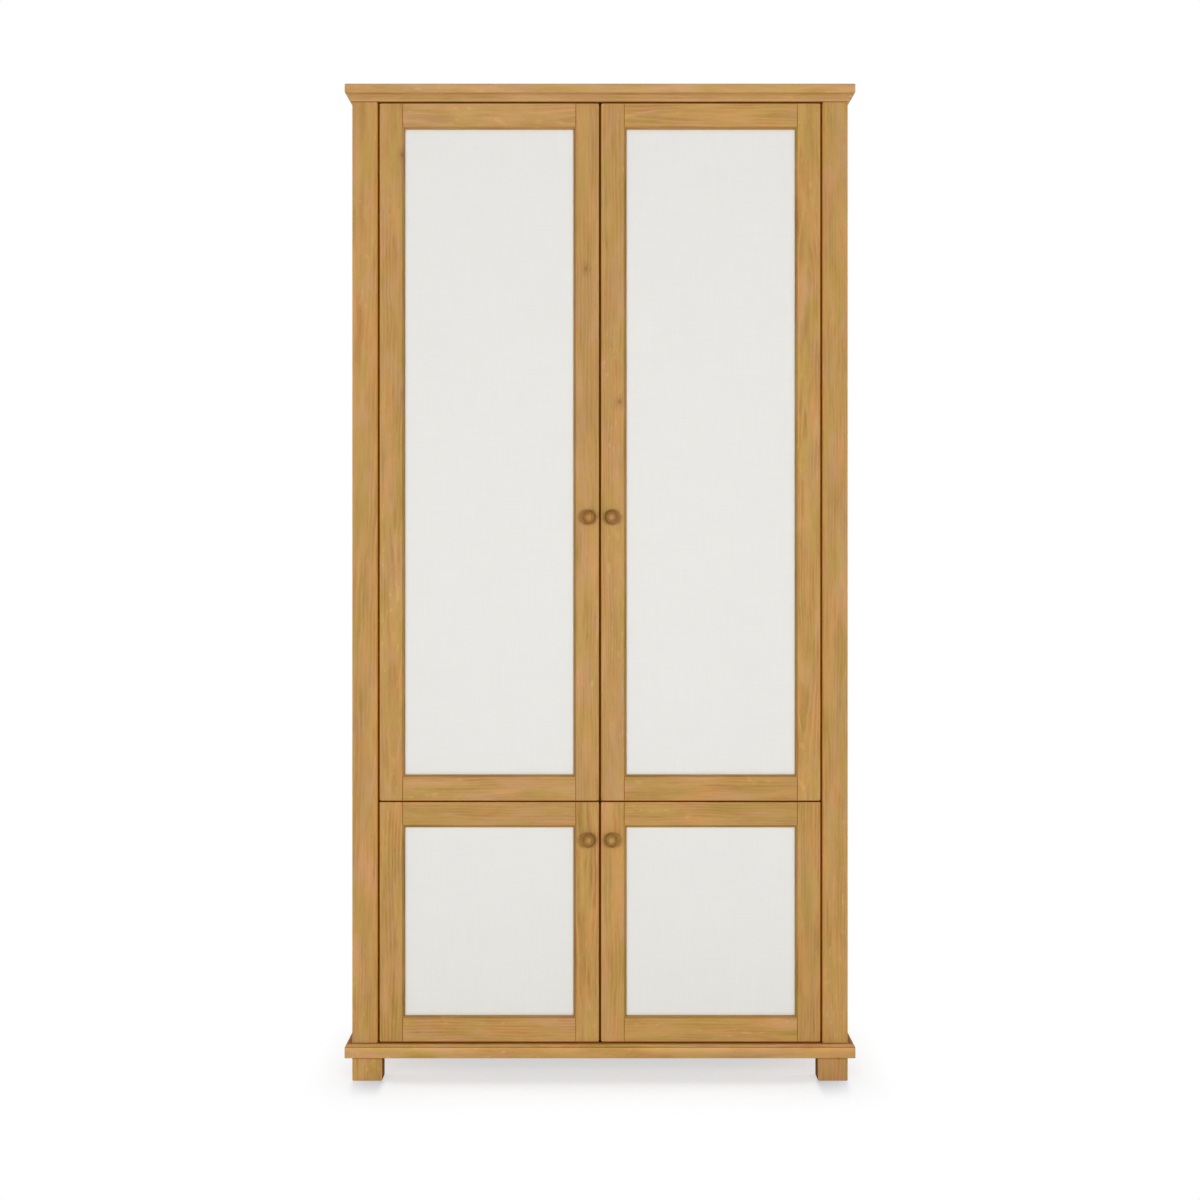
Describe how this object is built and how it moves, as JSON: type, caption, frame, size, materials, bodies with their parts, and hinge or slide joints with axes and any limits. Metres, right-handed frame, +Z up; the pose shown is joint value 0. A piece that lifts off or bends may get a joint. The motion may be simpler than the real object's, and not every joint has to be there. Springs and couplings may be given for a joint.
{
  "type": "tall cabinet",
  "caption": "Tall oak cabinet with linen-faced panelled doors over shorter ones, a moulded cornice and base, turned knobs, loose shelves and block feet.",
  "frame": {"origin": "on the floor, under the middle of the object's box, knobs included", "axes": "+Z up, -Y out of the doors, +X to the right as seen from the front"},
  "size_m": [1.023, 0.5662, 2],
  "materials": {
    "oak": "satin oiled oak, honey colour",
    "linen_panel": "board faced with off-white linen",
    "back_board": "plain veneered board",
    "steel": "nickel-plated pressed steel"
  },
  "bodies": {
    "carcass": {"top_board": "oak", "carcass_top": "oak", "cornice_front": "oak", "cornice_left": "oak", "cornice_right": "oak", "base_board": "oak", "front_left_foot": "oak", "front_right_foot": "oak", "rear_left_foot": "oak", "rear_right_foot": "oak", "front_left_post": "oak", "front_right_post": "oak", "rear_left_stile": "oak", "rear_right_stile": "oak", "left_side_top_rail": "oak", "left_side_bottom_rail": "oak", "right_side_top_rail": "oak", "right_side_bottom_rail": "oak", "left_side_panel": "oak", "right_side_panel": "oak", "back_panel": "back_board", "fixed_shelf": "oak", "upper_shelf_low": "oak", "upper_shelf_middle": "oak", "upper_shelf_high": "oak", "lower_shelf": "oak", "upper_left_hinge_arm_bottom": "steel", "upper_left_hinge_arm_middle": "steel", "upper_left_hinge_arm_top": "steel", "upper_right_hinge_arm_bottom": "steel", "upper_right_hinge_arm_middle": "steel", "upper_right_hinge_arm_top": "steel", "lower_left_hinge_arm_bottom": "steel", "lower_left_hinge_arm_top": "steel", "lower_right_hinge_arm_bottom": "steel", "lower_right_hinge_arm_top": "steel"},
    "upper_left_door": {"upper_left_hinge_stile": "oak", "upper_left_meeting_stile": "oak", "upper_left_top_rail": "oak", "upper_left_bottom_rail": "oak", "upper_left_panel": "linen_panel", "upper_left_knob": "oak"},
    "lower_left_door": {"lower_left_hinge_stile": "oak", "lower_left_meeting_stile": "oak", "lower_left_top_rail": "oak", "lower_left_bottom_rail": "oak", "lower_left_panel": "linen_panel", "lower_left_knob": "oak"},
    "upper_right_door": {"upper_right_hinge_stile": "oak", "upper_right_meeting_stile": "oak", "upper_right_top_rail": "oak", "upper_right_bottom_rail": "oak", "upper_right_panel": "linen_panel", "upper_right_knob": "oak"},
    "lower_right_door": {"lower_right_hinge_stile": "oak", "lower_right_meeting_stile": "oak", "lower_right_top_rail": "oak", "lower_right_bottom_rail": "oak", "lower_right_panel": "linen_panel", "lower_right_knob": "oak"}
  },
  "joints": [
    {"name": "upper_left_door_swing", "type": "hinge", "parent": "carcass", "child": "upper_left_door", "pos_m": [-0.419, -0.24405, 0.5635], "axis": [0, 0, -1], "range_deg": [0, 100]},
    {"name": "lower_left_door_swing", "type": "hinge", "parent": "carcass", "child": "lower_left_door", "pos_m": [-0.419, -0.24405, 0.0795], "axis": [0, 0, -1], "range_deg": [0, 100]},
    {"name": "upper_right_door_swing", "type": "hinge", "parent": "carcass", "child": "upper_right_door", "pos_m": [0.419, -0.24405, 0.5635], "axis": [0, 0, 1], "range_deg": [0, 100]},
    {"name": "lower_right_door_swing", "type": "hinge", "parent": "carcass", "child": "lower_right_door", "pos_m": [0.419, -0.24405, 0.0795], "axis": [0, 0, 1], "range_deg": [0, 100]}
  ]
}
